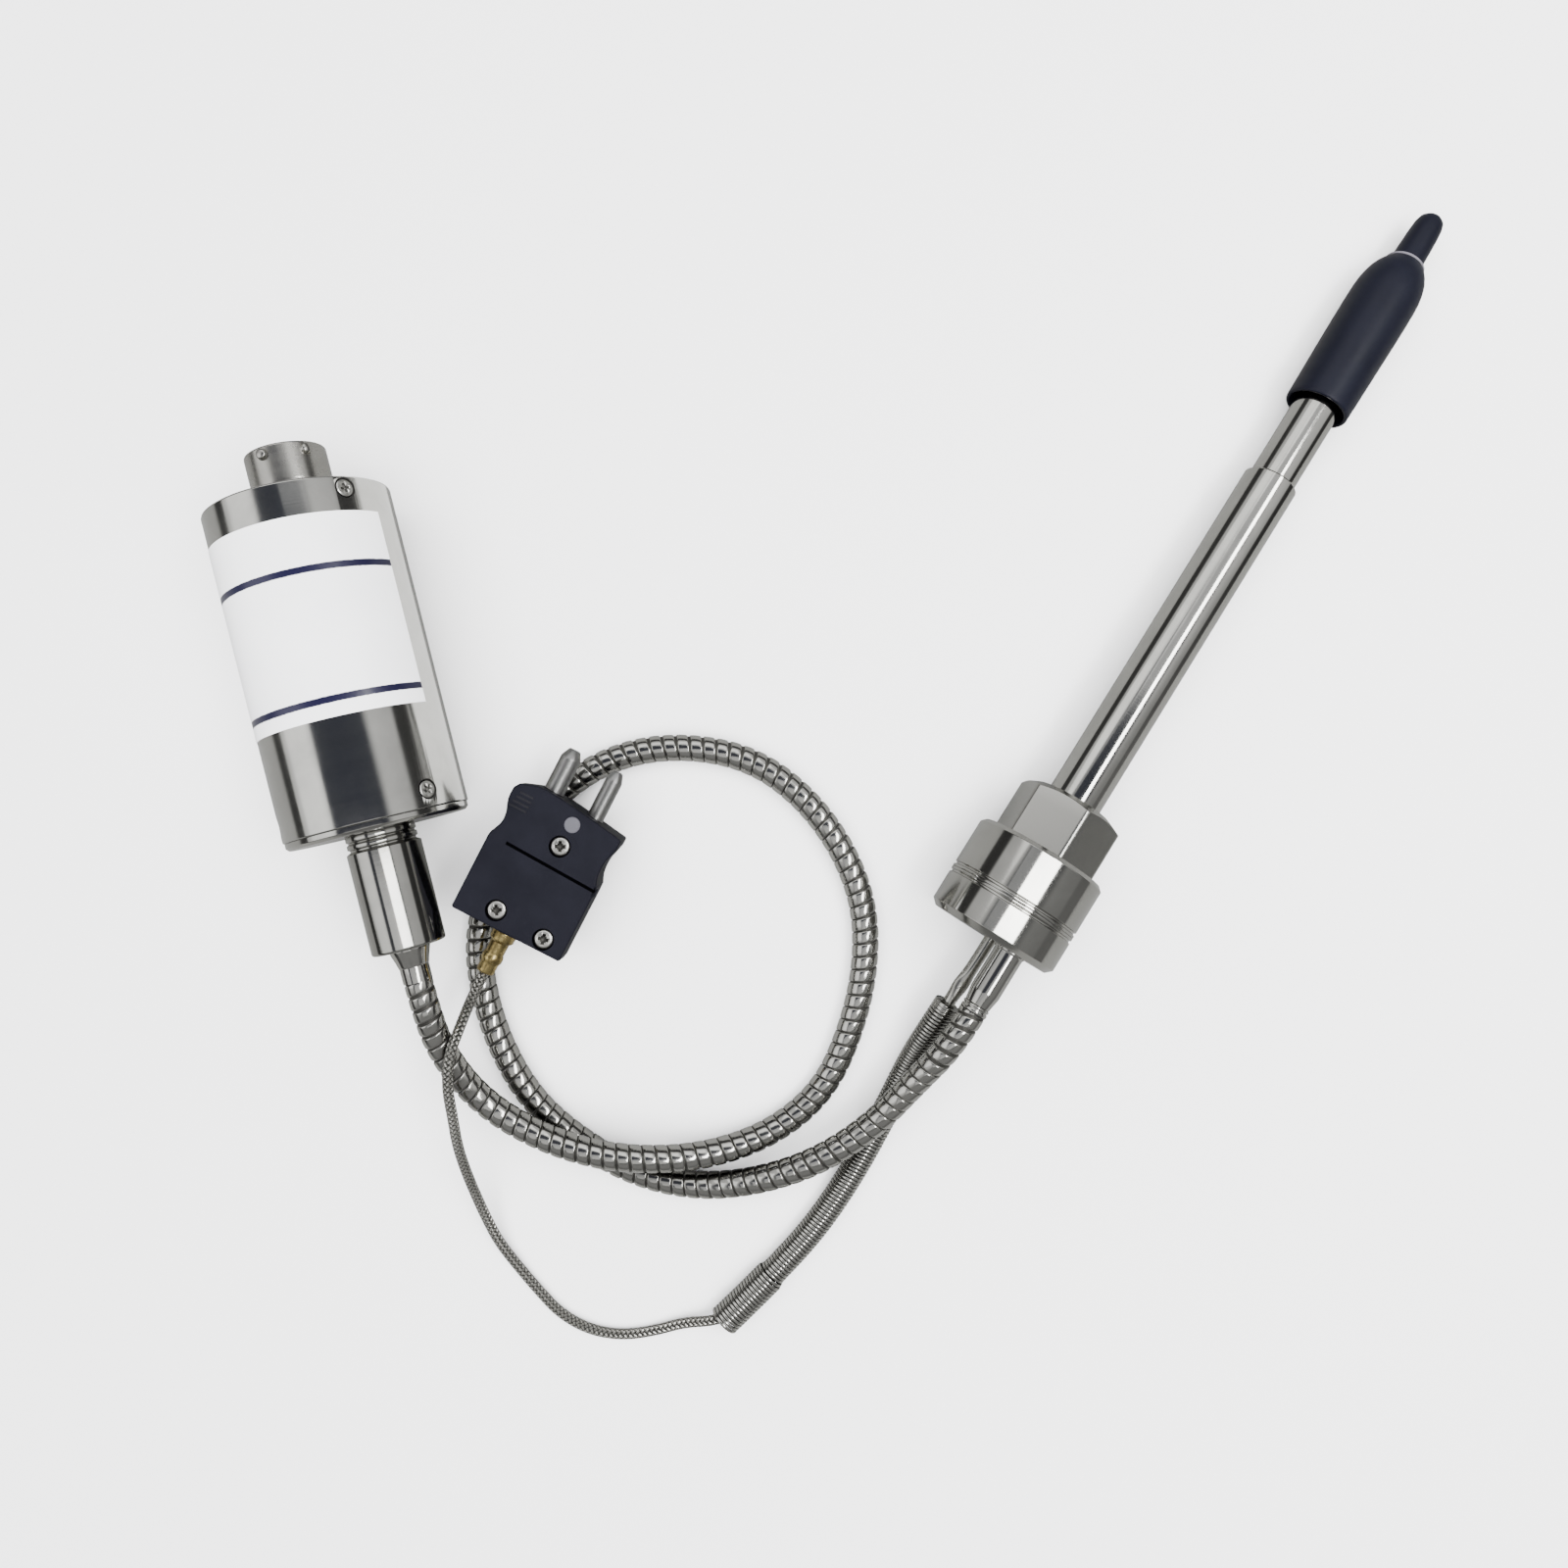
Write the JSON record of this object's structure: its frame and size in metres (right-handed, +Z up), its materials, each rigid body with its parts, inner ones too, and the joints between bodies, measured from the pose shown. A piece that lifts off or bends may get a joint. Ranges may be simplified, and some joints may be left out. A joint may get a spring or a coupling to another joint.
{
  "type": "pressure transmitter",
  "caption": "Melt pressure transmitter with a round electronics housing, armoured flexible hose, rigid capped stem with a hex collar, and a thermocouple lead with a flat two-pin plug.",
  "frame": {"origin": "on the surface the part lies on, below the middle of its box, the hose, the lead and what is on them left out", "axes": "+Z up; +Y along the housing's axis towards its receptacle; +X to the stem's side of the housing"},
  "size_m": [0.2908, 0.2213, 0.0401],
  "materials": {
    "housing_steel": "fine lengthwise brushing",
    "turned_steel": "fine turned",
    "screw_steel": "bright plated",
    "label_film": "satin film with a navy line near each end",
    "shell_metal": "satin plated",
    "insert_rubber": "matte",
    "contact_plating": "bright plated",
    "seal_rubber": "matte",
    "board_laminate": "satin",
    "component_body": "matte",
    "wire_insulation": "satin",
    "sheath_metal": "drawn",
    "hose_steel": "interlocked bright strip",
    "spring_steel": "close-wound bright wire",
    "braid_metal": "woven fine wire",
    "ferrule_brass": "satin",
    "plug_plastic": "satin moulded, black",
    "pin_metal": "satin, plain",
    "dot_plastic": "matte light grey",
    "cap_plastic": "soft gloss, black"
  },
  "bodies": {
    "instrument": {"housing_tube": "housing_steel", "upper_end_cap": "turned_steel", "lower_end_cap": "turned_steel", "upper_cap_screws": "screw_steel", "lower_cap_screws": "screw_steel", "rating_label": "label_film", "receptacle_shell": "shell_metal", "receptacle_insert": "insert_rubber", "receptacle_contacts": "contact_plating", "receptacle_nut": "shell_metal", "lower_seal_ring": "seal_rubber", "upper_seal_ring": "seal_rubber", "circuit_board": "board_laminate", "board_components": "component_body", "board_posts": "component_body", "receptacle_wires": "wire_insulation", "gauge_wires": "wire_insulation", "strain_gauge_capsule": "turned_steel", "neck_body": "turned_steel", "hose_end_cone": "turned_steel", "hex_body": "turned_steel", "collar_cap": "turned_steel", "stem_tube": "turned_steel", "threaded_probe_tip": "turned_steel", "process_diaphragm": "turned_steel", "thermocouple_probe": "sheath_metal", "thermocouple_wires": "wire_insulation", "hose_sleeve": "turned_steel", "hose_crimp_ring": "turned_steel", "flexible_hose": "hose_steel", "pressure_capillary": "sheath_metal", "lead_outlet_tube": "turned_steel", "lead_spring": "spring_steel", "thermocouple_lead": "braid_metal", "lead_ferrule": "ferrule_brass", "plug_base": "plug_plastic", "plug_cover": "plug_plastic", "plug_pin_negative": "pin_metal", "plug_pin_positive": "pin_metal", "terminal_screws": "screw_steel", "plug_rear_screws": "screw_steel", "plug_cover_screw": "screw_steel", "polarity_dot": "dot_plastic"},
    "cap": {"protective_cap": "cap_plastic"}
  },
  "joints": [
    {"name": "cap_pull", "type": "slide", "parent": "instrument", "child": "cap", "axis": [0.7245, 0.6875, -0.0496], "range_m": [0, 0.06]}
  ]
}
